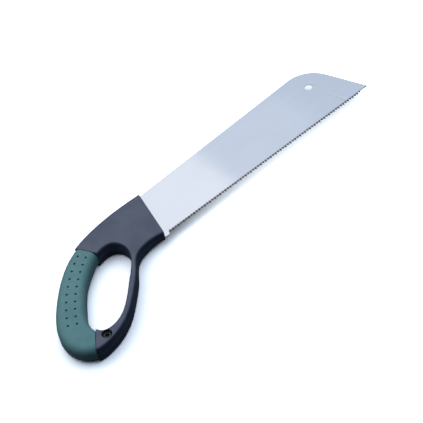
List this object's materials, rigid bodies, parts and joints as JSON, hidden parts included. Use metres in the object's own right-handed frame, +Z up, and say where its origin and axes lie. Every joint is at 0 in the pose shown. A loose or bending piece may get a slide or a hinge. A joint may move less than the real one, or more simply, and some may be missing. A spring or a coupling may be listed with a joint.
{
  "type": "hand saw",
  "caption": "Hand saw with a tapered steel blade, hardened teeth and a closed D handle: two hard shells and a dimpled soft grip sleeve; the blade draws out of the nose.",
  "frame": {"origin": "bottom centre of the saw's box as it lies on its left side", "axes": "+X along the blade from the handle to the tip, +Y from the teeth to the spine, +Z up through the thickness of the handle"},
  "size_m": [0.4582, 0.1478, 0.021],
  "materials": {
    "blade_steel": "satin, with darker hardened teeth",
    "hard_shell": "matt, finely grained",
    "soft_grip": "matt, soft",
    "zinc_steel": "zinc plated",
    "black_steel": "black oxide",
    "insert_brass": "turned"
  },
  "bodies": {
    "handle": {"right_shell": "hard_shell", "left_shell": "hard_shell", "grip_sleeve": "soft_grip", "foot_nut": "zinc_steel", "tang_insert_front": "insert_brass", "tang_insert_rear": "insert_brass"},
    "blade": {"blade": "blade_steel"},
    "foot_washer": {"foot_washer": "black_steel"},
    "foot_screw": {"foot_screw": "black_steel"},
    "tang_washer_front": {"tang_washer_front": "zinc_steel"},
    "tang_screw_front": {"tang_screw_front": "zinc_steel"},
    "tang_washer_rear": {"tang_washer_rear": "zinc_steel"},
    "tang_screw_rear": {"tang_screw_rear": "zinc_steel"}
  },
  "joints": [
    {"name": "blade_slide", "type": "slide", "parent": "handle", "child": "blade", "axis": [1, 0, 0], "range_m": [0, 0.06]},
    {"name": "foot_screw_travel", "type": "slide", "parent": "handle", "child": "foot_washer", "axis": [0, 0, 1], "range_m": [0, 0.0048]},
    {"name": "foot_screw_turn", "type": "hinge", "parent": "foot_washer", "child": "foot_screw", "pos_m": [-0.19247, -0.06543, 0.0105], "axis": [0, 0, 1], "range_deg": [0, 2161]},
    {"name": "tang_screw_front_travel", "type": "slide", "parent": "handle", "child": "tang_washer_front", "axis": [0, 0, -1], "range_m": [0, 0.00315]},
    {"name": "tang_screw_front_turn", "type": "hinge", "parent": "tang_washer_front", "child": "tang_screw_front", "pos_m": [-0.07497, 0.04057, 0.0105], "axis": [0, 0, -1], "range_deg": [0, 1621]},
    {"name": "tang_screw_rear_travel", "type": "slide", "parent": "handle", "child": "tang_washer_rear", "axis": [0, 0, -1], "range_m": [0, 0.00315]},
    {"name": "tang_screw_rear_turn", "type": "hinge", "parent": "tang_washer_rear", "child": "tang_screw_rear", "pos_m": [-0.10097, 0.04057, 0.0105], "axis": [0, 0, -1], "range_deg": [0, 1621]}
  ],
  "couplings": [
    {"joint": "foot_screw_turn", "follows": "foot_screw_travel", "rad_per_m": 7854},
    {"joint": "tang_screw_front_turn", "follows": "tang_screw_front_travel", "rad_per_m": 8976},
    {"joint": "tang_screw_rear_turn", "follows": "tang_screw_rear_travel", "rad_per_m": 8976}
  ]
}
